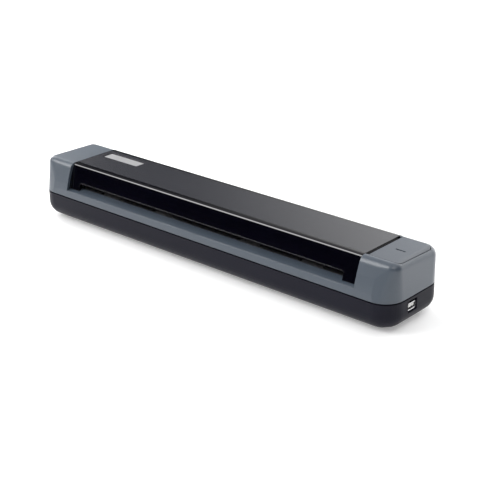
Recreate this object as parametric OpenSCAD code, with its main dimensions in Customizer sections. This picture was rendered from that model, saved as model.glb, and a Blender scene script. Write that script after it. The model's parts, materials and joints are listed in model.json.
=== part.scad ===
// Portable sheet fed document scanner, in millimetres.
// +X runs along the length to the button end, +Y from the feed side to the exit side, +Z up.
// The origin is at the centre of the footprint, on the surface that the feet stand on.

/* [Body] */
// Length of the housing
body_w = 290; // [286:1:300]
// Depth of the housing at the parting line
body_d = 51; // [50:0.5:54]
// Overall height, feet included
body_h = 41; // [41:0.5:43]
// Height of the parting line between the lower and upper housings
part_z = 18.8; // [18.6:0.1:19]
// Thickness of the housing walls
wall = 2; // [1.8:0.1:2.1]
// Radius of the two upright corners on the feed side
corner_r = 13; // [12:0.5:14]
// Radius of the two upright corners on the exit side
rear_corner_r = 11; // [11:0.5:12]

/* [Paper path] */
// Width of the feed slot
slot_w = 220; // [218:1:220]
// Height of the sheet above the standing surface
paper_z = 25.4; // [25.3:0.05:25.5]
// Radius of the feed tyres
tyre_r = 5; // [4.9:0.05:5]
// Radius of the pinch rollers
pinch_r = 3.5; // [3.4:0.05:3.5]
// Distance of both roller axes from the middle of the body
roller_y = 13; // [13:0.01:13.05]

/* [Gear train] */
// Module of every gear
gear_m = 0.5; // [0.5]
// Teeth on each feed roller gear and on the idler between them
roller_teeth = 26; // [26]
// Teeth on the small wheel of the compound gear, and on the motor pinion
pinion_teeth = 14; // [14]
// Teeth on the large wheel of the compound gear
wheel_teeth = 30; // [30]
// Direction from the idler to the compound gear, in degrees above +Y
compound_dir = 60; // [60:1:62]
// Direction from the compound gear to the motor, in degrees above +Y
motor_dir = 205; // [203:1:206]

/* [Button] */
// Travel of the scan button
button_travel = 0.5; // [0.3:0.1:0.5]

/* [Hidden] */
$fn = 48;

// Housing outline
foot_h = 1.8;
half_w = body_w / 2;
half_d = body_d / 2;
parting_gap = 0.8;
cap_lean = 0.17;         // run per unit of rise of the front face of the end caps, at the parting line
cap_bow = 0.0064;        // how much that lean grows with height
back_lean = 0.12;
end_lean = 0.04;         // the same for both end faces
cap_front_r = 5;
cap_back_r = 7.5;
cap_end_r = [4, 6];       // rounding of the caps' outer top edges, front and rear
cap_corner_r = [6, 7];   // radius in plan of the caps' top corners, front and rear
base_round = 9;          // rounding of the underside
floor_z = foot_h + wall;
upper_z = part_z + parting_gap / 2;
lip_z = 23.2;            // height of the feed lip's outer edge
window_x0 = -118.8;      // ends of the window that the top cover fills
window_x1 = 120.1;

// Top cover
cover_gap = 0.25;
cover_x0 = window_x0 + cover_gap;
cover_x1 = window_x1 - cover_gap;
cover_low = 24.4;
cover_front_y = -21.6;   // front face of the cover at cover_low
cover_front_lean = 0.29;
cover_front_r = 2.2;
cover_back_r = 5;
back_step = 0.25;        // how far the cover's back lies inside the caps' back
cover_back_y = half_d - (cover_low - part_z) * back_lean - back_step;
tongue_x = 2.2;          // reach of the cover's tongues under the end caps
slot_top = 29.1;
slot_corner_r = 1.6;
bead_w = 0.55;           // raised bead round the mouth of the slot
bead_h = 0.3;
strip_drop = 1.1;        // how low the dark strip beside the button lies
inlay_t = 0.6;
inlay_x0 = -118.3;
inlay_x1 = 119.7;
inlay_front = -13.5;
inlay_back = 17;
plate_x = -97.2;         // centre of the name plate
plate_y = 8.6;
plate_w = 31;
plate_d = 7.2;

// Chassis
frame_x = slot_w / 2;    // inner face of each side frame
frame_t = 2;
guide_t = 1.6;
guide_z = paper_z - 0.2;
roller_z = paper_z - tyre_r;
pinch_gap = 0.15;
pinch_z = paper_z + pinch_gap + pinch_r;
shaft_r = 2;
pinch_shaft_r = 1;
run_gap = 0.05;          // running clearance of a shaft in its bore
tyre_xs = [-84, -36, 36, 84];
tyre_w = 16;
pinch_w = 10;
clip_x = 113;            // groove of the retaining clip on each feed shaft
block_x = 105;
block_w = 4;
block_d = 4.8;
block_low = 26.6;
block_top = 32.4;

// Gear train, in the plane of the left side frame
layer1_x = -115.6;       // roller gears, idler and small compound wheel
layer1_w = 2.7;
layer2_x = -118.4;       // large compound wheel and motor pinion
layer2_w = 2.2;
pin_r = 1.5;
compound_dist = gear_m * (roller_teeth + pinion_teeth) / 2;
motor_dist = gear_m * (wheel_teeth + pinion_teeth) / 2;
idler_pos = [0, roller_z];
compound_pos = idler_pos + compound_dist * [cos(compound_dir), sin(compound_dir)];
motor_pos = compound_pos + motor_dist * [cos(motor_dir), sin(motor_dir)];
// Angle of one tooth of each gear, worked out so that every pair is in mesh
idler_phase = 0;
front_phase = mesh_phase(idler_phase, roller_teeth, roller_teeth, 180);
rear_phase = mesh_phase(idler_phase, roller_teeth, roller_teeth, 0);
small_phase = mesh_phase(idler_phase, roller_teeth, pinion_teeth, compound_dir);
wheel_phase = motor_dir;
motor_phase = mesh_phase(wheel_phase, wheel_teeth, pinion_teeth, motor_dir);
motor_r = 7.5;
motor_len = 16;
bracket_x = -120.4;
bracket_t = 1;

// Contact image sensor
sensor_x = 108.5;
sensor_y = 6.5;
sensor_low = 14;
sensor_top = 24.4;
glass_top = 25.3;
sensor_spring_x = 90;
sensor_seat_z = 8;

// Boards, socket and button, in the right end cap
board_z = 9;
board_t = 1.6;
usb_y = -3.3;
usb_z = 12.75;
usb_w = 8;
usb_h = 4.3;
usb_wall = 0.55;
usb_face_x = half_w - 0.8;
port_y = -3.6;
port_z = 13.3;
port_w = 8.6;
port_h = 7.2;
button_x0 = 122.3;
button_x1 = 142.2;
button_y0 = -14.3;
button_y1 = 17.9;
button_r = 3;
button_gap = 0.3;
button_t = 3.4;
button_board_z = 33;
board_lift = 1.2;        // thickness of the button board
switch_pos = [132.4, 9];
led_pos = [132.3, 1.3];
plunger_top = 37.1;
window_w = 6.6;
window_d = 1.1;

// Fasteners
case_screw = [137, 17];
board_screws_at = [[118, -11.5], [118, 11.5], [138, -11], [138, 11]];
frame_screws_at = [[106, -12], [106, 12], [-106, -12], [-106, 12]];
button_screws_at = [[127, -10.5], [139, -10.5], [127, 14.5], [139, 14.5]];
bracket_screws_at = [[-126, -9], [-126, 9]];
foot_x_left = -131;
foot_x_right = 122;
foot_y = 11;

// Paper flag
flag_axis = [-9.2, 31];
flag_r = 0.8;

// ---------- helpers ----------

// Tooth angle of a gear of zb teeth that meshes with a gear of za teeth in direction dir,
// where the first gear has a tooth at phase_a
function mesh_phase(phase_a, za, zb, dir) = dir + 180 - (phase_a - dir) * za / zb + 180 / zb;

// Runs its children, drawn in the YZ plane as [y, z], along X from x0 to x1
module along_x(x0, x1) {
    translate([x0, 0, 0]) rotate([90, 0, 90]) linear_extrude(x1 - x0) children();
}

// Runs its children, drawn in the XZ plane as [x, z], along Y from y0 to y1
module along_y(y0, y1) {
    translate([0, y1, 0]) rotate([90, 0, 0]) linear_extrude(y1 - y0) children();
}

module box(x0, x1, y0, y1, z0, z1) {
    translate([x0, y0, z0]) cube([x1 - x0, y1 - y0, z1 - z0]);
}

module post(p, r, z0, z1) {
    translate([p[0], p[1], z0]) cylinder(r = r, h = z1 - z0);
}

// A rod along X, centred on the YZ point p
module rod(p, r, x0, x1) {
    translate([x0, p[0], p[1]]) rotate([0, 90, 0]) cylinder(r = r, h = x1 - x0);
}

module rounded_rect(w, d, r) {
    square([w - 2 * r, d], center = true);
    square([w, d - 2 * r], center = true);
    for (sx = [-1, 1], sy = [-1, 1]) translate([sx * (w / 2 - r), sy * (d / 2 - r)]) circle(r = r);
}

// Place of a face that leans back from y at height zr, moved inwards by off.
// bow makes the lean grow with height.
function face_y(y, zr, lean, z, off, bow = 0) =
    y + (z - zr) * (lean + bow * (z - zr)) + off / cos(atan(lean + 2 * bow * (z - zr)));

// YZ section from z0 up between a leaning front face, a flat top and a leaning back face.
// yf and yb are where the faces stand at height zr, and inset moves every face inwards.
module hood_2d(yf, yb, zr, lean_f, bow, rf, rb, z0, inset) {
    top = body_h - inset;
    f = max(rf - inset, 0.2);
    b = max(rb - inset, 0.2);
    slope_f = atan(lean_f + 2 * bow * (top - f - zr));
    slope_b = atan(back_lean);
    front_c = [face_y(yf, zr, lean_f, top - f, inset + f, bow), top - f];
    back_c = [-face_y(-yb, zr, back_lean, top - b, inset + b), top - b];
    rises = bow > 0 ? 4 : 1;
    polygon(concat(
        [[-face_y(-yb, zr, back_lean, z0, inset), z0],
         back_c + b * [cos(slope_b), sin(slope_b)], back_c + [0, b],
         front_c + [0, f], front_c + f * [-cos(slope_f), sin(slope_f)]],
        [for (i = [rises - 1:-1:0]) let (z = z0 + (top - f - z0) * i / rises)
            [face_y(yf, zr, lean_f, z, inset, bow), z]]));
    translate(front_c) circle(r = f);
    translate(back_c) circle(r = b);
}

module cap_2d(inset, z0)
    hood_2d(-half_d, half_d, part_z, cap_lean, cap_bow, cap_front_r, cap_back_r, z0, inset);

module cover_2d(inset, z0)
    hood_2d(cover_front_y, cover_back_y, cover_low, cover_front_lean, 0,
        cover_front_r, cover_back_r, z0, inset);

// Outline of the housing from above, moved inwards by inset
module plan_2d(inset = 0) {
    w = half_w - inset;
    d = half_d - inset;
    front = corner_r - inset;
    rear = rear_corner_r - inset;
    translate([-w, front - d]) square([2 * w, 2 * d - front - rear]);
    translate([front - w, -d]) square([2 * (w - front), d]);
    translate([rear - w, 0]) square([2 * (w - rear), d]);
    for (side = [-1, 1]) {
        translate([side * (w - front), front - d]) circle(r = front);
        translate([side * (w - rear), d - rear]) circle(r = rear);
    }
}

// Upright round corner of radius out in plan, rounded by r at its top edge
module corner_dome(out, r, top) {
    rotate_extrude($fn = 48) polygon(concat(
        [[0, top - r]],
        [for (a = [0:10:80]) [out - r + r * cos(a), top - r + r * sin(a)]],
        [[out - r, top], [0, top]]));
}

// Outer form of the upper housing above z0, or its cavity when inset is the wall.
// It swells from the plan outline to tight, rounded corners at the top.
module cap_form(inset, z0) {
    flat_x = half_w - corner_r;
    difference() {
        hull() {
            translate([0, 0, part_z]) linear_extrude(0.01) plan_2d(inset);
            along_x(-flat_x, flat_x) cap_2d(inset, part_z);
            for (sx = [-1, 1], rear = [0, 1]) {
                r = cap_end_r[rear];
                out = cap_corner_r[rear];
                x = half_w - (body_h - r - part_z) * end_lean - out;
                y = rear == 0 ? face_y(-half_d, part_z, cap_lean, body_h - r, out, cap_bow)
                    : -face_y(-half_d, part_z, back_lean, body_h - r, out);
                translate([sx * x, y, 0]) corner_dome(out - inset, r - inset, body_h - inset);
            }
        }
        translate([0, 0, z0 - 20]) cube([2 * body_w, 2 * body_d, 40], center = true);
    }
}

// Rounded tub that the lower housing and its cavity share
module tub_form(inset, z1) {
    r = base_round - inset;
    z0 = foot_h + inset;
    hull() for (sx = [-1, 1], sy = [-1, 1]) {
        corner = sy < 0 ? corner_r : rear_corner_r;
        out = corner - inset;
        translate([sx * (half_w - corner), sy * (half_d - corner), 0])
            rotate_extrude($fn = 48) polygon(concat(
                [[0, z1], [0, z0]],
                [for (a = [-90:10:0]) [out - r + r * cos(a), z0 + r + r * sin(a)]],
                [[out, z1]]));
    }
}

// Involute gear in the YZ plane, with one tooth at angle phase
function involute(rb, r) = let (t = sqrt(max(0, pow(r / rb, 2) - 1))) t * 180 / PI - atan(t);
module gear_2d(teeth, phase) {
    pressure = 20;
    backlash = 0.06;
    rp = gear_m * teeth / 2;
    rb = rp * cos(pressure);
    tip = rp + 0.8 * gear_m;
    root = rp - 1.1 * gear_m;
    start = max(rb, root);
    half = 90 / teeth - backlash / rp * 90 / PI + involute(rb, rp);
    radii = [for (i = [0:3]) start + (tip - start) * i / 3];
    flank = [for (r = radii) [r, half - involute(rb, r)]];
    polygon([for (k = [0:teeth - 1]) let (a = phase + k * 360 / teeth) each concat(
        [root * [cos(a - flank[0][1]), sin(a - flank[0][1])]],
        [for (i = [0:3]) let (b = a - flank[i][1]) flank[i][0] * [cos(b), sin(b)]],
        [for (i = [3:-1:0]) let (b = a + flank[i][1]) flank[i][0] * [cos(b), sin(b)]],
        [root * [cos(a + flank[0][1]), sin(a + flank[0][1])]])]);
}

// A gear on a YZ point, with a hole of radius bore
module gear(p, teeth, phase, bore, x0, w) {
    difference() {
        translate([0, p[0], p[1]]) along_x(x0, x0 + w) gear_2d(teeth, phase);
        rod(p, bore, x0 - 1, x0 + w + 1);
    }
}

// Compression spring standing on p from z0 to z1
module coil_spring(p, r, wire, z0, z1, turns) {
    sides = 6;
    per_turn = 14;
    n = turns * per_turn;
    rise = z1 - z0 - 2 * wire;
    ring = [for (i = [0:n], j = [0:sides - 1])
        let (a = 360 * i / per_turn, b = 360 * j / sides, q = r + wire * cos(b))
        [p[0] + q * cos(a), p[1] + q * sin(a), z0 + wire + rise * i / n + wire * sin(b)]];
    polyhedron(ring, concat(
        [[for (j = [0:sides - 1]) j]],
        [for (i = [0:n - 1], j = [0:sides - 1]) let (k = (j + 1) % sides)
            [i * sides + j, (i + 1) * sides + j, (i + 1) * sides + k, i * sides + k]],
        [[for (j = [sides - 1:-1:0]) n * sides + j]]));
}

// A pan head screw, head up, whose head sits on height z
module screw(p, head_r, head_h, shank_r, length, z, flip = 1) {
    translate([p[0], p[1], z]) rotate([flip > 0 ? 0 : 180, 0, 0]) {
        difference() {
            cylinder(r = head_r, h = head_h);
            for (a = [0, 90]) rotate(a)
                translate([-head_r * 0.6, -0.25, head_h - 0.6]) cube([head_r * 1.2, 0.5, 1]);
        }
        translate([0, 0, -length]) cylinder(r = shank_r, h = length);
    }
}

// ---------- housings ----------

module lower_housing() color([0.19, 0.19, 0.22]) {
    posts = floor_z - 0.4;
    difference() {
        union() {
            difference() {
                tub_form(0, part_z - parting_gap / 2);
                tub_form(wall, part_z + 1);
            }
            // rim that stands up inside the upper housing and backs the shadow line
            translate([0, 0, part_z - 2.4]) linear_extrude(3.6) difference() {
                plan_2d(1.2);
                plan_2d(wall + 0.2);
            }
            intersection() {
                tub_form(wall / 2, part_z);
                union() {
                    for (sx = [-1, 1], sy = [-1, 1])
                        post([sx * case_screw[0], sy * case_screw[1]], 3.2, 0, part_z);
                    for (p = frame_screws_at) post(p, 3, posts, 7.2);
                    for (p = concat(board_screws_at, bracket_screws_at)) post(p, 2.4, posts, board_z);
                    for (sx = [-1, 1]) post([sx * sensor_spring_x, 0], 3, posts, sensor_seat_z);
                }
            }
        }
        for (sx = [-1, 1], sy = [-1, 1]) {
            post([sx * case_screw[0], sy * case_screw[1]], 1.4, 1, part_z + 1);
            post([sx * case_screw[0], sy * case_screw[1]], 2.7, 0, 6);
        }
        for (x = [foot_x_left, foot_x_right], sy = [-1, 1])
            post([x, sy * foot_y], 2, foot_h - 1, floor_z + 1);
        for (p = frame_screws_at) post(p, 1, floor_z + 0.4, 8);
        for (p = concat(board_screws_at, bracket_screws_at)) post(p, 0.9, floor_z + 0.4, board_z + 1);
        // opening in front of the socket
        translate([0, port_y, port_z]) along_x(half_w - wall - 2, half_w + 1)
            rounded_rect(port_w, port_h, 0.9);
    }
}

// Outline of the scan button, grown by g: square where it meets the cover, rounded at the end
module button_2d(g = 0) {
    w = button_x1 - button_x0 + 2 * g;
    d = button_y1 - button_y0 + 2 * g;
    c = [(button_x0 + button_x1) / 2, (button_y0 + button_y1) / 2];
    translate(c) {
        rounded_rect(w, d, button_r);
        translate([-w / 2, -d / 2]) square([w / 2, d]);
    }
}

module upper_housing() color([0.40, 0.43, 0.47]) {
    rib = 2.2;
    difference() {
        union() {
            difference() {
                cap_form(0, upper_z);
                cap_form(wall, upper_z - 1);
                box(window_x0, window_x1, -30, 30, lip_z, 60);
                // room for the rim of the lower housing
                translate([0, 0, upper_z - 1]) linear_extrude(2) plan_2d(1.1);
            }
            // feed lip, ramp, and exit lip with its own ramp
            along_x(window_x0, window_x1) {
                polygon([[-24.26, lip_z], [-24.16, lip_z + 0.22], [-23.9, lip_z + 0.35],
                         [-20.4, cover_low - 0.1], [-20.4, 23.1], [-23, 21]]);
                polygon([[24.97, lip_z], [24.6, lip_z + 0.35],
                         [20.4, cover_low - 0.1], [20.4, 23.1], [23.4, 21]]);
            }
            along_x(-frame_x, frame_x) {
                polygon([[-21.6, 23], [-21.6, 24.05], [-18.2, guide_z - 0.1], [-18.2, guide_z - 1.1]]);
                polygon([[22, 23], [22, 23.95], [18.2, guide_z - 0.3], [18.2, guide_z - 1.3]]);
            }
            intersection() {
                cap_form(wall / 2, upper_z + 1.4);
                union() {
                    for (sx = [-1, 1], sy = [-1, 1]) translate([sx * case_screw[0], sy * case_screw[1], 0]) {
                        cylinder(r = 3, h = 30);
                        rotate(atan2(sy, sx)) translate([0, -0.7, 0]) cube([12, 1.4, 30]);
                    }
                    // ledges under the button board
                    for (y = [[-24, -9.2], [13.2, 25]])
                        box(124.6, 144, y[0], y[1], button_board_z - rib, button_board_z);
                }
            }
        }
        for (sx = [-1, 1], sy = [-1, 1]) post([sx * case_screw[0], sy * case_screw[1]], 1.1, part_z, 28);
        for (p = button_screws_at) post(p, 0.8, button_board_z - rib - 1, button_board_z + 1);
        // well of the scan button
        translate([0, 0, body_h - button_t - button_travel - 0.2]) linear_extrude(button_t + 2) {
            button_2d(button_gap);
            translate([window_x1 - 1, button_y0 - button_gap])
                square([4, button_y1 - button_y0 + 2 * button_gap]);
        }
    }
}

// Outline of the slot in the XZ plane, grown by g
module slot_2d(g = 0) {
    w = slot_w + 2 * g;
    top = slot_top + g;
    r = slot_corner_r + g;
    square([w, 2 * (top - r)], center = true);
    square([w - 2 * r, 2 * top], center = true);
    for (side = [-1, 1]) translate([side * (w / 2 - r), top - r]) circle(r = r);
}

module top_cover() color([0.02, 0.02, 0.03]) {
    difference() {
        union() {
            difference() {
                along_x(cover_x0, cover_x1) cover_2d(0, cover_low);
                along_x(cover_x0 - 1, cover_x1 + 1) cover_2d(wall, cover_low - 1);
            }
            // bead round the mouth of the feed slot
            difference() {
                intersection() {
                    along_x(cover_x0, cover_x1) cover_2d(-bead_h, cover_low);
                    along_y(-30, 0) slot_2d(bead_w);
                }
                along_x(cover_x0 - 1, cover_x1 + 1) cover_2d(wall, cover_low - 1);
            }
            // tongues that lie under the edges of the end caps
            difference() {
                along_x(cover_x0 - tongue_x, cover_x1 + tongue_x) cap_2d(wall + 0.3, cover_low);
                along_x(cover_x0 - 9, cover_x1 + 9) cap_2d(wall + 1.5, cover_low - 1);
                along_x(cover_x0 + 1.2, cover_x1 - 1.2) cap_2d(0, cover_low - 1);
            }
            // dark strip beside the scan button
            box(cover_x1 - 1, button_x0 - 0.2, button_y0, button_y1,
                body_h - wall - strip_drop, body_h - strip_drop);
        }
        along_y(-30, 30) slot_2d();
        box(inlay_x0, inlay_x1, inlay_front, inlay_back, body_h - inlay_t, body_h + 1);
    }
}

module cover_inlay() color([0.33, 0.33, 0.36]) {
    g = 0.05;
    difference() {
        box(inlay_x0 + g, inlay_x1 - g, inlay_front + g, inlay_back - g, body_h - inlay_t, body_h);
        translate([plate_x - 0.6, plate_y + 0.5, body_h - 0.4]) linear_extrude(1)
            square([plate_w + 2.4, plate_d + 1.8], center = true);
    }
}

module name_plate() color([0.75, 0.76, 0.78]) {
    translate([plate_x, plate_y, body_h - 0.4]) linear_extrude(0.25) rounded_rect(plate_w, plate_d, 0.4);
}

// Rubber foot with a stem pressed into the floor
module foot(x, sy) color([0.05, 0.05, 0.05]) {
    translate([x, sy * foot_y, 0]) {
        rotate_extrude() polygon([[0, 0], [4, 0], [4.6, 0.5], [4.8, 1.2], [4.8, foot_h], [0, foot_h]]);
        cylinder(r = 2, h = floor_z);
    }
}

module housing_screws() color([0.25, 0.25, 0.27]) {
    for (sx = [-1, 1], sy = [-1, 1])
        screw([sx * case_screw[0], sy * case_screw[1]], 2.4, 1.8, 1.1, 19.5, 6, -1);
}

// ---------- chassis ----------

module side_frame_2d() {
    polygon([[-18.5, 7.2], [18.5, 7.2], [20.2, 12], [20.2, 22.8], [17.4, 25], [17.4, 31], [14, 36], [-12, 36],
             [-15.6, 31], [-17.4, 25], [-20, 22.8], [-20, 12]]);
}

// Sheet metal end plate; side is -1 for the gear end and 1 for the socket end
module side_frame(side) color([0.62, 0.64, 0.66]) {
    x0 = side < 0 ? -frame_x - frame_t : frame_x;
    difference() {
        union() {
            along_x(x0, x0 + frame_t) side_frame_2d();
            for (sy = [-1, 1])
                box(min(side * frame_x, side * 102), max(side * frame_x, side * 102),
                    sy > 0 ? 8.5 : -15.5, sy > 0 ? 15.5 : -8.5, 7.2, 8.4);
        }
        for (sy = [-1, 1]) rod([sy * roller_y, roller_z], 3.2, x0 - 1, x0 + frame_t + 1);
        for (p = frame_screws_at) post(p, 1.2, 6, 10);
        box(x0 - 1, x0 + frame_t + 1, -6, 6, 6, 12.6);
        if (side < 0) {
            rod(idler_pos, pin_r, x0 - 1, x0 + 3);
            rod(compound_pos, pin_r, x0 - 1, x0 + 3);
        }
    }
}

module left_side_frame() side_frame(-1);
module right_side_frame() side_frame(1);

module lower_paper_guide() color([0.10, 0.10, 0.11]) {
    z0 = guide_z - guide_t;
    rib_y = 6.9;
    end = sensor_x + 0.4;
    difference() {
        union() {
            for (sy = [-1, 1]) {
                box(-frame_x, frame_x, min(sy * 7.6, sy * 18), max(sy * 7.6, sy * 18), z0, guide_z);
                box(-end, end, min(sy * rib_y, sy * 7.7), max(sy * rib_y, sy * 7.7), 16, guide_z);
            }
            for (sx = [-1, 1])
                box(min(sx * end, sx * frame_x), max(sx * end, sx * frame_x), -7.7, 7.7, 15, guide_z);
        }
        for (x = tyre_xs, sy = [-1, 1])
            box(x - tyre_w / 2 - 1, x + tyre_w / 2 + 1, sy * roller_y - 4.3, sy * roller_y + 4.3, z0 - 1, 30);
        box(-1.2, 1.2, -11.4, -6, z0, 30);
    }
}

module upper_paper_guide() color([0.10, 0.10, 0.11]) {
    low = paper_z + 1;
    difference() {
        union() {
            along_x(-frame_x, frame_x) polygon([
                [-17.4, low + 3.2], [-14.6, low], [14.6, low], [17.4, low + 3.2],
                [17.4, low + 5], [14.1, low + 1.5], [-14.1, low + 1.5], [-17.4, low + 5]]);
            // ears that carry the paper flag
            for (sx = [-1, 1]) hull() {
                box(sx * 6 - 1, sx * 6 + 1, flag_axis[0] - 2, flag_axis[0] + 2, low + 0.6, low + 1.5);
                rod(flag_axis, 1.9, sx * 6 - 1, sx * 6 + 1);
            }
            // stiffening ribs
            for (y = [-5.5, 4.7]) box(-frame_x, frame_x, y, y + 0.8, low + 1, low + 4);
        }
        for (x = tyre_xs, sy = [-1, 1])
            box(x - pinch_w / 2 - 1, x + pinch_w / 2 + 1,
                sy * roller_y - 4.3, sy * roller_y + 4.3, low - 2, 40);
        for (sx = [-1, 1], sy = [-1, 1])
            translate([sx * block_x, sy * roller_y, 30])
                cube([block_w + 0.4, block_d + 0.4, 20], center = true);
        rod(flag_axis, flag_r + run_gap, -8, 8);
        box(-1.4, 1.4, -12.2, -4.6, low - 2, low + 5);
    }
}

module white_platen() color([0.95, 0.95, 0.94]) {
    box(-107.5, 107.5, -4.2, 4.2, paper_z + 0.3, paper_z + 1);
}

module frame_screws() color([0.70, 0.71, 0.73]) {
    for (p = frame_screws_at) screw(p, 2.1, 1.3, 1, 3.5, 8.4);
}

module feed_bushes() color([0.86, 0.84, 0.76]) {
    for (side = [-1, 1], sy = [-1, 1]) {
        p = [sy * roller_y, roller_z];
        x0 = side < 0 ? -frame_x - frame_t : frame_x;
        flange = side < 0 ? x0 - 0.7 : x0 + frame_t;
        difference() {
            union() {
                rod(p, 3.2, x0, x0 + frame_t);
                rod(p, 4.2, flange, flange + 0.7);
            }
            rod(p, shaft_r + run_gap, x0 - 2, x0 + frame_t + 2);
        }
    }
}

// ---------- feed rollers ----------

module feed_shaft(sy) color([0.78, 0.79, 0.81]) {
    p = [sy * roller_y, roller_z];
    difference() {
        rod(p, shaft_r, layer1_x - 0.6, 114.2);
        // groove of the retaining clip
        difference() {
            rod(p, shaft_r + 1, clip_x, clip_x + 0.6);
            rod(p, 1.5, clip_x - 1, clip_x + 1);
        }
    }
}

module feed_tyres(sy) color([0.22, 0.22, 0.23]) {
    p = [sy * roller_y, roller_z];
    for (x = tyre_xs) difference() {
        rod(p, tyre_r, x - tyre_w / 2, x + tyre_w / 2);
        rod(p, shaft_r, x - tyre_w, x + tyre_w);
    }
}

module shaft_clip(sy) color([0.30, 0.30, 0.32]) {
    p = [sy * roller_y, roller_z];
    difference() {
        rod(p, 3.2, clip_x + 0.05, clip_x + 0.55);
        rod(p, 1.5, clip_x - 1, clip_x + 2);
        translate([clip_x - 1, p[0] - 1.1, p[1] - 5]) cube([3, 2.2, 5]);
    }
}

module front_feed_shaft() feed_shaft(-1);
module rear_feed_shaft() feed_shaft(1);
module front_feed_tyres() feed_tyres(-1);
module rear_feed_tyres() feed_tyres(1);
module front_shaft_clip() shaft_clip(-1);
module rear_shaft_clip() shaft_clip(1);
module front_feed_gear() color([0.90, 0.89, 0.84])
    gear([-roller_y, roller_z], roller_teeth, front_phase, shaft_r, layer1_x, layer1_w);
module rear_feed_gear() color([0.90, 0.89, 0.84])
    gear([roller_y, roller_z], roller_teeth, rear_phase, shaft_r, layer1_x, layer1_w);

// ---------- gear train ----------

module idler_gear() color([0.90, 0.89, 0.84])
    gear(idler_pos, roller_teeth, idler_phase, pin_r + run_gap, layer1_x, layer1_w);

module compound_gear() color([0.90, 0.89, 0.84]) {
    difference() {
        union() {
            translate([0, compound_pos[0], compound_pos[1]]) {
                along_x(layer1_x, layer1_x + layer1_w) gear_2d(pinion_teeth, small_phase);
                along_x(layer2_x, layer2_x + layer2_w) gear_2d(wheel_teeth, wheel_phase);
            }
            rod(compound_pos, 2.6, layer2_x + layer2_w - 0.2, layer1_x + 0.2);
        }
        rod(compound_pos, pin_r + run_gap, -125, -110);
    }
}

module gear_pins() color([0.78, 0.79, 0.81]) {
    rod(idler_pos, pin_r, layer1_x - 0.4, -frame_x);
    rod(compound_pos, pin_r, bracket_x, -frame_x);
}

module motor_pinion() color([0.80, 0.66, 0.34])
    gear(motor_pos, pinion_teeth, motor_phase, 0.75, layer2_x, layer2_w);

module motor_shaft() color([0.78, 0.79, 0.81])
    rod(motor_pos, 0.75, bracket_x - 1.5, layer2_x + layer2_w);

module motor_can() color([0.66, 0.67, 0.69]) {
    difference() {
        union() {
            rod(motor_pos, motor_r, bracket_x - motor_len, bracket_x);
            rod(motor_pos, 3, bracket_x, bracket_x + bracket_t);
            rod(motor_pos, 2.6, bracket_x - motor_len - 1, bracket_x - motor_len);
            // block that holds the terminals
            translate([bracket_x - motor_len - 2, motor_pos[0] - 2.5, motor_pos[1] - 2]) cube([2, 5, 4]);
        }
        rod(motor_pos, 0.8, bracket_x - 1.6, bracket_x + 2);
    }
}

module motor_bracket() color([0.62, 0.64, 0.66]) {
    difference() {
        union() {
            along_x(bracket_x, bracket_x + bracket_t)
                polygon([[-13.5, 9], [13.5, 9], [13.5, 30], [9, 35.5], [-9, 35.5], [-14, 30]]);
            for (p = bracket_screws_at) box(-130, bracket_x + bracket_t, p[1] - 3.5, p[1] + 3.5, 9, 10);
        }
        rod(motor_pos, 3, bracket_x - 1, bracket_x + 2);
        rod(compound_pos, pin_r, bracket_x - 1, bracket_x + 2);
        for (p = bracket_screws_at) post(p, 1.1, 8, 11);
    }
}

// Route of the motor lead along the floor, from the motor's terminals to the main board
cable_points = [
    [-138.4, -5, 24.4], [-139.4, -5, 24.4], [-140.4, -5, 23.6], [-140.8, -5, 22], [-140.8, -5, 16],
    [-139, -4, 10], [-135, -2, 6.6], [-124, 0, 5.4], [-112, 0, 5.4], [-98, 5, 5.4], [-86, 6, 5.4],
    [86, 6, 5.4], [98, 5, 5.6],
    [106, 4.4, 6.8], [110, 4.4, 9.2], [112, 4.4, 11], [114, 4.4, 11.9], [116, 4.4, 12.2], [118, 4.4, 12.2]
];
cable_r = 0.8;

// Tube swept along a route, its rings standing square to the route
module sweep(points, r) {
    sides = 8;
    n = len(points);
    function unit(v) = v / norm(v);
    ring = [for (i = [0:n - 1])
        let (
            t = unit(points[min(i + 1, n - 1)] - points[max(i - 1, 0)]),
            u = unit(cross(t, [0.1, 1, 0])),
            v = cross(t, u)
        )
        for (j = [0:sides - 1]) points[i] + r * (cos(360 * j / sides) * u + sin(360 * j / sides) * v)];
    polyhedron(ring, concat(
        [[for (j = [sides - 1:-1:0]) j]],
        [for (i = [0:n - 2], j = [0:sides - 1]) let (k = (j + 1) % sides)
            [i * sides + j, i * sides + k, (i + 1) * sides + k, (i + 1) * sides + j]],
        [[for (j = [0:sides - 1]) (n - 1) * sides + j]]));
}

module motor_cable() color([0.12, 0.12, 0.13]) sweep(cable_points, cable_r);

// ---------- pinch rollers ----------

module pinch_shaft(sy) color([0.78, 0.79, 0.81])
    rod([sy * roller_y, pinch_z], pinch_shaft_r, -block_x - block_w / 2 - 0.6, block_x + block_w / 2 + 0.6);

module pinch_rollers(sy) color([0.88, 0.88, 0.86]) {
    p = [sy * roller_y, pinch_z];
    for (x = tyre_xs) difference() {
        rod(p, pinch_r, x - pinch_w / 2, x + pinch_w / 2);
        rod(p, pinch_shaft_r, x - pinch_w, x + pinch_w);
    }
}

module pinch_blocks(sy) color([0.86, 0.84, 0.76]) {
    for (sx = [-1, 1]) difference() {
        box(sx * block_x - block_w / 2, sx * block_x + block_w / 2,
            sy * roller_y - block_d / 2, sy * roller_y + block_d / 2, block_low, block_top);
        rod([sy * roller_y, pinch_z], pinch_shaft_r + run_gap, -120, 120);
    }
}

module pinch_springs(sy) color([0.70, 0.71, 0.73])
    for (sx = [-1, 1])
        coil_spring([sx * block_x, sy * roller_y], 1.5, 0.22, block_top, body_h - wall, 6);

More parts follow.
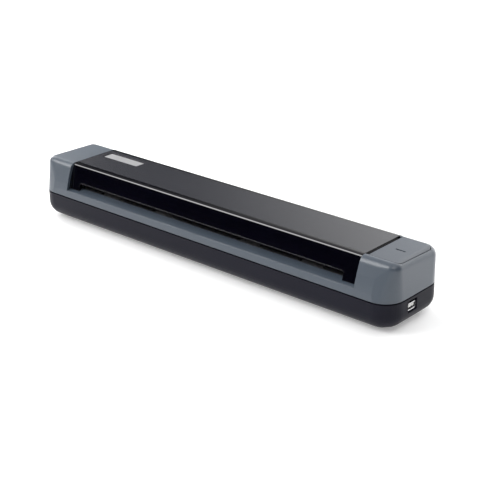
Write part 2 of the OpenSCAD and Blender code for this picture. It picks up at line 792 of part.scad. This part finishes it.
module front_pinch_shaft() pinch_shaft(-1);
module rear_pinch_shaft() pinch_shaft(1);
module front_pinch_rollers() pinch_rollers(-1);
module rear_pinch_rollers() pinch_rollers(1);
module front_pinch_blocks() pinch_blocks(-1);
module rear_pinch_blocks() pinch_blocks(1);
module front_pinch_springs() pinch_springs(-1);
module rear_pinch_springs() pinch_springs(1);

// ---------- contact image sensor ----------

module sensor_housing() color([0.08, 0.08, 0.09]) {
    difference() {
        box(-sensor_x, sensor_x, -sensor_y, sensor_y, sensor_low, sensor_top);
        box(-sensor_x + 1.5, sensor_x - 1.5, -5.2, 5.2, sensor_low - 1, sensor_low + 1.8);
        box(-sensor_x + 1.5, sensor_x - 1.5, -1.1, 1.1, sensor_low, sensor_top + 1);
    }
}

module sensor_glass() color([0.75, 0.85, 0.83, 0.5])
    box(-sensor_x + 0.4, sensor_x - 0.4, -5.4, 5.4, sensor_top, glass_top);

module sensor_lens_array() color([0.35, 0.36, 0.40])
    box(-sensor_x + 1.6, sensor_x - 1.6, -1.05, 1.05, sensor_low + 4, sensor_top - 1.5);

module sensor_board() color([0.08, 0.30, 0.16])
    box(-sensor_x + 1.6, sensor_x - 1.6, -5.1, 5.1, sensor_low + 0.6, sensor_low + 1.7);

module sensor_springs() color([0.70, 0.71, 0.73])
    for (sx = [-1, 1]) coil_spring([sx * sensor_spring_x, 0], 2.3, 0.3, sensor_seat_z, sensor_low + 0.6, 5);

// Flat flexible cable from the sensor board to the main board
module sensor_ribbon() color([0.88, 0.88, 0.86])
    along_y(-5, -1) polygon([
        [98, 14.6], [98, 14.3], [101, 12.2], [101.6, 12], [117, 11.6], [119.2, 11.4], [119.2, 11.7],
        [117, 11.9], [101.8, 12.3], [101.2, 12.5], [98.3, 14.6]]);

// ---------- electronics ----------

module main_board() color([0.06, 0.33, 0.18]) {
    difference() {
        box(114, 141, -13.6, 13.6, board_z, board_z + board_t);
        for (p = board_screws_at) post(p, 1.1, board_z - 1, board_z + 3);
    }
}

module board_chips() color([0.07, 0.07, 0.08]) {
    z = board_z + board_t;
    box(123, 131, 0.8, 8.4, z, z + 1.2);
    box(132.6, 136, 3.4, 7.2, z, z + 1);
    box(123, 127, -11, -7, z, z + 1);
    // connectors of the sensor ribbon and the motor lead
    box(119.2, 121.6, -6.4, 0.2, z, z + 2);
    box(118, 121.6, 2.4, 6.4, z, z + 2.8);
    for (p = [[130, -9.4], [134, -9.6]]) post(p, 1.5, z, z + 3.2);
}

module board_screws() color([0.70, 0.71, 0.73]) {
    for (p = board_screws_at) screw(p, 2, 1.2, 0.9, 4.4, board_z + board_t);
    for (p = bracket_screws_at) screw(p, 2, 1.2, 0.9, 4, 10);
    for (p = button_screws_at) screw(p, 1.6, 1, 0.8, 3, button_board_z + board_lift);
}

module usb_socket_shell() color([0.80, 0.81, 0.83]) {
    translate([0, usb_y, usb_z]) difference() {
        along_x(usb_face_x - 9, usb_face_x) square([usb_w, usb_h], center = true);
        along_x(usb_face_x - 7, usb_face_x + 1)
            square([usb_w - 2 * usb_wall, usb_h - 2 * usb_wall], center = true);
    }
}

module usb_socket_tongue() color([0.80, 0.80, 0.78])
    translate([0, usb_y, usb_z]) along_x(usb_face_x - 7, usb_face_x - 0.5)
        translate([-2.6, -0.5]) square([5.2, 1.5]);

module button_board() color([0.06, 0.33, 0.18]) {
    difference() {
        box(125, 141.2, -12.4, 16.4, button_board_z, button_board_z + board_lift);
        for (p = button_screws_at) post(p, 1, button_board_z - 1, button_board_z + 3);
    }
}

module switch_body() color([0.12, 0.12, 0.13]) {
    z = button_board_z + board_lift;
    difference() {
        box(switch_pos[0] - 3, switch_pos[0] + 3, switch_pos[1] - 3, switch_pos[1] + 3, z, z + 2.2);
        post(switch_pos, 1.6 + run_gap, z + 0.6, z + 4);
    }
}

module switch_plunger() color([0.85, 0.85, 0.82])
    post(switch_pos, 1.6, button_board_z + 2.6, plunger_top);

module status_led() color([0.92, 0.92, 0.86])
    box(led_pos[0] - 1.6, led_pos[0] + 1.6, led_pos[1] - 0.8, led_pos[1] + 0.8,
        button_board_z + board_lift, button_board_z + board_lift + 0.9);

module scan_button() color([0.44, 0.47, 0.51]) {
    z0 = body_h - button_t;
    skin = 1.4;
    tab_x = 125;
    difference() {
        union() {
            intersection() {
                translate([0, 0, z0]) linear_extrude(button_t) button_2d();
                cap_form(0, upper_z);
            }
            // tabs that keep the button in its well
            box(tab_x, tab_x + 10, button_y0 - 0.8, button_y1 + 0.8, z0, z0 + 0.5);
            post(switch_pos, 2, plunger_top + 0.05, z0 + 1);
        }
        translate([0, 0, z0 - 1]) linear_extrude(button_t - skin + 1) difference() {
            button_2d(-1.2);
            translate(switch_pos) circle(r = 2);
        }
        translate([led_pos[0], led_pos[1], z0 - 1]) linear_extrude(button_t + 2)
            square([window_w, window_d], center = true);
    }
}

module button_window() color([0.10, 0.11, 0.13])
    translate([led_pos[0], led_pos[1], 36.2]) linear_extrude(body_h - 36.7)
        square([window_w, window_d], center = true);

// ---------- paper flag ----------

// Lever that hangs into the path and is pushed towards the rear by the sheet
module paper_flag() color([0.15, 0.15, 0.16]) {
    y = flag_axis[0];
    z = flag_axis[1];
    rod(flag_axis, flag_r, -7.4, 7.4);
    rod(flag_axis, 1.5, -1, 1);
    along_x(-0.5, 0.5) {
        polygon([[y - 1.3, z - 0.5], [y - 1.25, z - 6], [y - 0.8, z - 6.4],
                 [y - 0.4, z - 6], [y + 1, z - 0.5]]);
        polygon([[y - 0.9, z + 0.5], [y - 0.9, z + 4.2], [y + 0.3, z + 4.2], [y + 0.6, z + 0.5]]);
    }
}

// Light gate that the upper arm of the flag stands in
module flag_sensor() color([0.08, 0.08, 0.09]) {
    y = flag_axis[0];
    box(-2.8, 2.8, y - 2.4, y + 2.4, 37, body_h - wall);
    for (sx = [-1, 1]) box(sx * 2 - 0.8, sx * 2 + 0.8, y - 2.2, y + 2.2, 33.8, 37.2);
}

lower_housing();
upper_housing();
top_cover();
cover_inlay();
name_plate();
flag_sensor();
foot(foot_x_left, -1);  // foot_front_left
foot(foot_x_right, -1);  // foot_front_right
foot(foot_x_left, 1);  // foot_rear_left
foot(foot_x_right, 1);  // foot_rear_right
housing_screws();
left_side_frame();
right_side_frame();
lower_paper_guide();
upper_paper_guide();
white_platen();
frame_screws();
feed_bushes();
front_feed_shaft();
front_feed_tyres();
front_feed_gear();
front_shaft_clip();
rear_feed_shaft();
rear_feed_tyres();
rear_feed_gear();
rear_shaft_clip();
idler_gear();
compound_gear();
gear_pins();
motor_pinion();
motor_shaft();
motor_can();
motor_bracket();
motor_cable();
front_pinch_shaft();
front_pinch_rollers();
front_pinch_blocks();
front_pinch_springs();
rear_pinch_shaft();
rear_pinch_rollers();
rear_pinch_blocks();
rear_pinch_springs();
sensor_housing();
sensor_glass();
sensor_lens_array();
sensor_board();
sensor_springs();
sensor_ribbon();
main_board();
board_chips();
board_screws();
usb_socket_shell();
usb_socket_tongue();
button_board();
switch_body();
switch_plunger();
status_led();
scan_button();
button_window();
paper_flag();
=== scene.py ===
"""A portable sheet fed document scanner on a pale studio floor, dressed around its CAD frame.

Lengths are in metres unless a comment says otherwise.
"""

import json
import math

import bpy
from mathutils import Matrix, Vector


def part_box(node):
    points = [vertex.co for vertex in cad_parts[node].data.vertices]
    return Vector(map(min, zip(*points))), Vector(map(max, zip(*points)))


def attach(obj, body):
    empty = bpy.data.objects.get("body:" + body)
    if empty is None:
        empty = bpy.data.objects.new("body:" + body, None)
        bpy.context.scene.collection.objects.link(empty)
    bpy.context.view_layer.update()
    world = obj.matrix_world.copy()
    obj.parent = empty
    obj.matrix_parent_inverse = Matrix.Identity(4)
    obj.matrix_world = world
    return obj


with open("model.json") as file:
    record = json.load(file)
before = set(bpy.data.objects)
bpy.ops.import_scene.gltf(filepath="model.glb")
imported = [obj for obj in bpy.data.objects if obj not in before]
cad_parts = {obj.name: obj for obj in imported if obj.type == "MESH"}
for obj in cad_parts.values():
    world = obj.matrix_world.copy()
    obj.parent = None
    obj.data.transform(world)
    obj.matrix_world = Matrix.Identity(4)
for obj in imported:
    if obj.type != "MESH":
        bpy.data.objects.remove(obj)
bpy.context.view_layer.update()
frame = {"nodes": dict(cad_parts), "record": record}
nodes = frame["nodes"]
scene = bpy.context.scene
MM = 0.001

# ---------- camera ----------

AZIMUTH, ELEVATION, ROLL = 41.64, 23.34, -0.64  # degrees
DISTANCE = 0.7534  # from the origin, along the line of sight
SLIDE_RIGHT, SLIDE_UP = 0.0169, 0.0045  # sideways offset of the camera
LENS, SENSOR_WIDTH = 86.08, 36  # millimetres
NEAR_CLIP = 0.01


def make_camera():
    az, el, roll = (math.radians(v) for v in (AZIMUTH, ELEVATION, ROLL))
    back = Vector((math.sin(az) * math.cos(el), -math.cos(az) * math.cos(el), math.sin(el)))
    level = Vector((0, 0, 1)).cross(back).normalized()
    upright = back.cross(level)
    right = level * math.cos(roll) + upright * math.sin(roll)
    up = upright * math.cos(roll) - level * math.sin(roll)
    place = back * DISTANCE + right * SLIDE_RIGHT + up * SLIDE_UP
    data = bpy.data.cameras.new("camera")
    data.lens = LENS
    data.sensor_width = SENSOR_WIDTH
    data.clip_start = NEAR_CLIP
    camera = bpy.data.objects.new("camera", data)
    turn = Matrix((right, up, back)).transposed().to_4x4()
    camera.matrix_world = Matrix.Translation(place) @ turn
    scene.collection.objects.link(camera)
    scene.camera = camera


make_camera()

# ---------- material tools ----------


def add_node(tree, kind, **settings):
    made = tree.nodes.new("ShaderNode" + kind)
    for key, value in settings.items():
        setattr(made, key, value)
    return made


def add_ramp(tree, fac, stops):
    """Colour ramp with those (position, colour or grey) stops; returns its colour output."""
    made = add_node(tree, "ValToRGB")
    elements = made.color_ramp.elements
    while len(elements) < len(stops):
        elements.new(0.5)
    for element, (at, value) in zip(elements, stops):
        element.position = at
        element.color = (*value, 1) if isinstance(value, tuple) else (value, value, value, 1)
    tree.links.new(fac, made.inputs["Fac"])
    return made.outputs["Color"]


class Shader:
    """A node material with a Principled shader, and short calls that add what feeds it."""

    def __init__(self, name, color, rough, metal=0.0, **sockets):
        self.slot = name
        self.material = bpy.data.materials.new(name)
        self.material.use_nodes = True
        self.tree = self.material.node_tree
        self.main = self.tree.nodes["Principled BSDF"]
        self.set("Base Color", (*color, 1))
        self.set("Roughness", rough)
        self.set("Metallic", metal)
        for socket, value in sockets.items():
            self.set(socket.replace("_", " "), value)
        self.coords = self.node("TexCoord").outputs["Object"]

    def set(self, socket, value):
        self.main.inputs[socket].default_value = value

    def node(self, kind, **settings):
        return add_node(self.tree, kind, **settings)

    def link(self, out, into):
        self.tree.links.new(out, into)

    def stretched(self, scale):
        mapping = self.node("Mapping")
        mapping.inputs["Scale"].default_value = scale
        self.link(self.coords, mapping.inputs["Vector"])
        return mapping.outputs["Vector"]

    def noise(self, scale, detail=2.0, rough=0.5, stretch=(1, 1, 1)):
        made = self.node("TexNoise")
        made.inputs["Scale"].default_value = scale
        made.inputs["Detail"].default_value = detail
        made.inputs["Roughness"].default_value = rough
        self.link(self.stretched(stretch), made.inputs["Vector"])
        return made.outputs["Fac"]

    def vary_color(self, fac, low, high):
        color = add_ramp(self.tree, fac, [(0.3, low), (0.7, high)])
        self.link(color, self.main.inputs["Base Color"])

    def vary_rough(self, fac, low, high):
        made = self.node("MapRange")
        made.inputs["To Min"].default_value = low
        made.inputs["To Max"].default_value = high
        self.link(fac, made.inputs["Value"])
        self.link(made.outputs["Result"], self.main.inputs["Roughness"])

    def soften_edges(self, radius):
        """The look of the small radius that every moulded edge has."""
        made = self.node("Bevel", samples=4)
        made.inputs["Radius"].default_value = radius
        self.link(made.outputs["Normal"], self.main.inputs["Normal"])
        self.link(made.outputs["Normal"], self.main.inputs["Coat Normal"])

    def bump(self, height, distance, strength=1.0):
        made = self.node("Bump")
        made.inputs["Distance"].default_value = distance
        made.inputs["Strength"].default_value = strength
        self.link(height, made.inputs["Height"])
        normal = self.main.inputs["Normal"]
        if normal.links:
            self.link(normal.links[0].from_socket, made.inputs["Normal"])
        self.link(made.outputs["Normal"], normal)


def shade(color, factor):
    return tuple(c * factor for c in color)


def grey(value):
    return (value, value, value)


# ---------- kinds of material ----------

EDGE = 0.25 * MM  # radius that the edges of moulded plastic look to have

# Scales of noise, in waves per metre
CLOUDS = 28  # slow drift of a moulded plastic's colour
HAZE, TINT, PEEL = 60, 35, 450  # handling haze, tint and orange peel of polished plastic
LINES = 900  # drawing or turning marks of metal
RUBBER_GRAIN, RUBBER_DUST = 1800, 120
SMEARS = 200  # on clear plastic and glass


def moulded(name, color, rough, grain, depth, spread=0.06, **sockets):
    """Moulded plastic with a spark-eroded grain of that size and depth, in millimetres."""
    s = Shader(name, color, rough, **sockets)
    s.soften_edges(EDGE)
    clouds = s.noise(CLOUDS, detail=3)
    s.vary_color(clouds, shade(color, 1 - spread), shade(color, 1 + spread))
    grains = s.noise(1 / (grain * MM), detail=2, rough=0.6)
    s.vary_rough(grains, rough - 0.05, rough + 0.05)
    s.bump(grains, depth * MM)
    return s


def polished(name, color, rough, **sockets):
    """Smooth glossy plastic with a faint orange peel and faint handling haze."""
    s = Shader(name, color, rough, **sockets)
    s.soften_edges(EDGE / 2)
    haze = s.noise(HAZE, detail=4, rough=0.7)
    s.vary_rough(haze, rough * 0.7, rough * 1.5)
    s.vary_color(s.noise(TINT), shade(color, 0.85), shade(color, 1.15))
    s.bump(s.noise(PEEL, detail=1), 0.0015 * MM)
    return s


def metal(name, color, rough, stretch=(1, 1, 1), scale=LINES, depth=0.004, **sockets):
    """Metal whose fine lines run along the axis with the smallest stretch, depth in millimetres."""
    s = Shader(name, color, rough, 1.0, **sockets)
    lines = s.noise(scale, detail=3, rough=0.6, stretch=stretch)
    s.vary_color(lines, shade(color, 0.86), shade(color, 1.08))
    s.vary_rough(lines, rough * 0.8, rough * 1.25)
    s.bump(lines, depth * MM)
    return s


def rubber(name, color, rough=0.75):
    s = Shader(name, color, rough, Specular_IOR_Level=0.3)
    grains = s.noise(RUBBER_GRAIN, detail=3, rough=0.7)
    s.vary_color(s.noise(RUBBER_DUST, detail=3), shade(color, 0.8), shade(color, 1.3))
    s.vary_rough(grains, rough - 0.1, rough + 0.1)
    s.bump(grains, 0.02 * MM)
    return s


def board_mask(name):
    """Green solder mask with copper tracks showing under it."""
    s = Shader(name, (0.01, 0.09, 0.03), 0.3, Coat_Weight=0.4)
    tracks = s.node("TexBrick", offset=0.37, squash=1.7, squash_frequency=3)
    tracks.inputs["Scale"].default_value = 260
    tracks.inputs["Mortar Size"].default_value = 0.018
    tracks.inputs["Color1"].default_value = (0.008, 0.075, 0.026, 1)
    tracks.inputs["Color2"].default_value = (0.010, 0.095, 0.032, 1)
    tracks.inputs["Mortar"].default_value = (0.03, 0.19, 0.06, 1)
    s.link(s.coords, tracks.inputs["Vector"])
    s.link(tracks.outputs["Color"], s.main.inputs["Base Color"])
    s.bump(tracks.outputs["Fac"], 0.02 * MM, 0.5)
    return s


def clear(name, color, rough):
    s = Shader(name, color, rough, Transmission_Weight=0.9)
    s.vary_rough(s.noise(SMEARS, detail=3), rough * 0.6, rough * 1.6)
    return s


# ---------- the object's materials, one for each slot of the record ----------

ALONG_X, ALONG_Z = (0.02, 1, 1), (1, 1, 0.02)  # direction of drawn or brushed lines

MATERIALS = [
    moulded("charcoal_plastic", (0.008, 0.008, 0.015), rough=0.42, grain=0.45, depth=0.012,
            Specular_IOR_Level=0.12),
    moulded("slate_plastic", (0.044, 0.060, 0.082), rough=0.5, grain=0.4, depth=0.006, spread=0.03,
            Coat_Weight=0.6, Coat_Roughness=0.3),
    moulded("button_plastic", (0.060, 0.072, 0.090), rough=0.4, grain=0.4, depth=0.006,
            spread=0.03),
    polished("gloss_black", (0.001, 0.0009, 0.003), rough=0.07),
    moulded("satin_dark", (0.026, 0.027, 0.033), rough=0.24, grain=0.3, depth=0.002, spread=0.04),
    metal("plate_silver", (0.42, 0.42, 0.43), rough=0.38, stretch=ALONG_X, scale=1500,
          Metallic=0.5),
    rubber("foot_rubber", (0.018, 0.018, 0.020)),
    metal("black_screw", (0.05, 0.05, 0.055), rough=0.4),
    metal("frame_steel", (0.55, 0.57, 0.60), rough=0.35, stretch=ALONG_Z),
    moulded("guide_black", (0.022, 0.022, 0.025), rough=0.5, grain=0.5, depth=0.01),
    moulded("platen_white", (0.80, 0.80, 0.78), rough=0.6, grain=0.5, depth=0.008),
    moulded("bush_nylon", (0.72, 0.69, 0.60), rough=0.45, grain=0.4, depth=0.008,
            Subsurface_Weight=0.15),
    metal("shaft_steel", (0.68, 0.69, 0.71), rough=0.2, stretch=ALONG_X, scale=1400),
    rubber("tyre_rubber", (0.035, 0.035, 0.038), rough=0.65),
    moulded("gear_nylon", (0.76, 0.73, 0.65), rough=0.42, grain=0.4, depth=0.008,
            Subsurface_Weight=0.15),
    metal("pinion_brass", (0.72, 0.52, 0.22), rough=0.25),
    metal("motor_steel", (0.58, 0.59, 0.61), rough=0.28, stretch=ALONG_X, scale=700),
    moulded("pinch_plastic", (0.72, 0.72, 0.70), rough=0.5, grain=0.5, depth=0.01),
    metal("spring_steel", (0.52, 0.53, 0.55), rough=0.28),
    clear("sensor_glass", (0.90, 0.96, 0.94), rough=0.04),
    polished("lens_resin", (0.08, 0.09, 0.11), rough=0.15),
    board_mask("board_green"),
    moulded("chip_black", (0.015, 0.015, 0.017), rough=0.55, grain=0.25, depth=0.01),
    moulded("ribbon_white", (0.70, 0.70, 0.67), rough=0.35, grain=0.8, depth=0.01),
    metal("socket_nickel", (0.78, 0.78, 0.80), rough=0.18, stretch=ALONG_X, scale=1200,
          depth=0.002),
    clear("led_clear", (0.95, 0.95, 0.85), rough=0.2),
    polished("window_smoke", (0.004, 0.004, 0.005), rough=0.2, Specular_IOR_Level=0.2),
]
material_of_slot = {s.slot: s.material for s in MATERIALS}

for row in frame["record"]["subparts"]:
    mesh = nodes[row["node"]].data
    mesh.materials.clear()
    mesh.materials.append(material_of_slot[row["material_slot"]])

# ---------- rating label, left blank ----------

LABEL_X = -40 * MM
LABEL_W, LABEL_D, LABEL_T = 62 * MM, 22 * MM, 0.12 * MM
LABEL_R = 1.5 * MM
CORNER_STEPS, CORNER_ANGLE = 7, 15  # points in each rounded corner, and degrees between them


def label_outline():
    points = []
    for sx, sy, start in ((1, 1, 0), (-1, 1, 90), (-1, -1, 180), (1, -1, 270)):
        x = LABEL_X + sx * (LABEL_W / 2 - LABEL_R)
        y = sy * (LABEL_D / 2 - LABEL_R)
        for step in range(CORNER_STEPS):
            turn = math.radians(start + CORNER_ANGLE * step)
            points.append((x + LABEL_R * math.cos(turn), y + LABEL_R * math.sin(turn)))
    return points


def make_label():
    """Thin rounded sticker under the flat floor of the lower housing."""
    housing_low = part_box("lower_housing")[0][2]
    outline = label_outline()
    count = len(outline)
    corners = [(x, y, housing_low - dz) for dz in (0, LABEL_T) for x, y in outline]
    faces = [tuple(range(count)), tuple(reversed(range(count, 2 * count)))]
    for i in range(count):
        j = (i + 1) % count
        faces.append((i, i + count, j + count, j))
    mesh = bpy.data.meshes.new("rating_label")
    mesh.from_pydata(corners, [], faces)
    paper = moulded("label_paper", (0.55, 0.56, 0.58), rough=0.45, grain=0.2, depth=0.003)
    mesh.materials.append(paper.material)
    label = bpy.data.objects.new("rating_label", mesh)
    scene.collection.objects.link(label)
    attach(label, "housing")


make_label()

# ---------- studio ----------

FLOOR_SIZE = 40
FLOOR_WHITE, FLOOR_SPREAD = 0.8, 0.005
FLOOR_GLOW = 0.28  # a little light of its own, as from a lit table


def make_floor():
    bpy.ops.mesh.primitive_plane_add(size=FLOOR_SIZE)
    floor = bpy.context.object
    floor.name = "studio_floor"
    s = Shader("floor_paint", grey(FLOOR_WHITE), 0.8)
    s.vary_color(s.noise(3), grey(FLOOR_WHITE - FLOOR_SPREAD), grey(FLOOR_WHITE + FLOOR_SPREAD))
    s.set("Emission Color", (1, 1, 1, 1))
    s.set("Emission Strength", FLOOR_GLOW)
    floor.data.materials.append(s.material)


# Soft lamps of the studio, seen from the object: azimuth from the rear towards the button end,
# elevation, inner and outer half angle, all in degrees, and strength
LAMPS = [
    (-20, 76, 20, 50, 0.95),  # overhead
    (4, 12, 20, 49, 2.9),  # low behind: the gradient along the top
    (-68, 17, 4, 17, 7.2),  # low left: the top of the left end cap
    (-134, 34, 4, 20, 10.5),  # front left: glints on the rounded front edges
    (138, 54, 4, 19, 5.5),  # above the camera: the same edges, nearer the button end
]
GLOW = [(0.0, 0.0), (0.6, 0.0), (0.75, 0.05), (1.0, 0.1)]  # height in the dome, and brightness


def lamp_light(tree, sight, azimuth, elevation, inner, outer, strength):
    """Brightness that one lamp paints on the dome, where sight is the direction looked in."""
    az, el = math.radians(azimuth), math.radians(elevation)
    toward = (math.sin(az) * math.cos(el), math.cos(az) * math.cos(el), math.sin(el))
    dot = add_node(tree, "VectorMath", operation="DOT_PRODUCT")
    dot.inputs[1].default_value = toward
    tree.links.new(sight, dot.inputs[0])
    soft = add_node(tree, "MapRange", interpolation_type="SMOOTHSTEP")
    soft.inputs["From Min"].default_value = math.cos(math.radians(outer))
    soft.inputs["From Max"].default_value = math.cos(math.radians(inner))
    soft.inputs["To Max"].default_value = strength
    tree.links.new(dot.outputs["Value"], soft.inputs["Value"])
    return soft.outputs["Result"]


def make_dome():
    """Lamps painted on a dome that is dark at the horizon, so that upright gloss stays black."""
    world = bpy.data.worlds.new("studio")
    scene.world = world
    world.use_nodes = True
    tree = world.node_tree
    sight = add_node(tree, "TexCoord").outputs["Generated"]
    split = add_node(tree, "SeparateXYZ")
    tree.links.new(sight, split.inputs["Vector"])
    height = add_node(tree, "MapRange")
    height.inputs["From Min"].default_value = -1
    tree.links.new(split.outputs["Z"], height.inputs["Value"])
    total = add_ramp(tree, height.outputs["Result"], GLOW)
    for lamp in LAMPS:
        add = add_node(tree, "Math", operation="ADD")
        tree.links.new(total, add.inputs[0])
        tree.links.new(lamp_light(tree, sight, *lamp), add.inputs[1])
        total = add.outputs["Value"]
    tree.links.new(total, tree.nodes["Background"].inputs["Color"])


SIDE_PLACE = (-0.5, 0.1, 0.45)
SIDE_SIZE, SIDE_WATTS = 0.3, 2.2


def make_side_light():
    """Soft box at the upper left, near enough to light the left end more than the right one."""
    data = bpy.data.lights.new("side_light", "AREA")
    data.size = SIDE_SIZE
    data.energy = SIDE_WATTS
    light = bpy.data.objects.new("side_light", data)
    place = Vector(SIDE_PLACE)
    turn = place.to_track_quat("Z", "Y").to_matrix().to_4x4()
    light.matrix_world = Matrix.Translation(place) @ turn
    light.visible_camera = False
    light.visible_glossy = False
    scene.collection.objects.link(light)


make_floor()
make_dome()
make_side_light()
scene.view_settings.view_transform = "Standard"
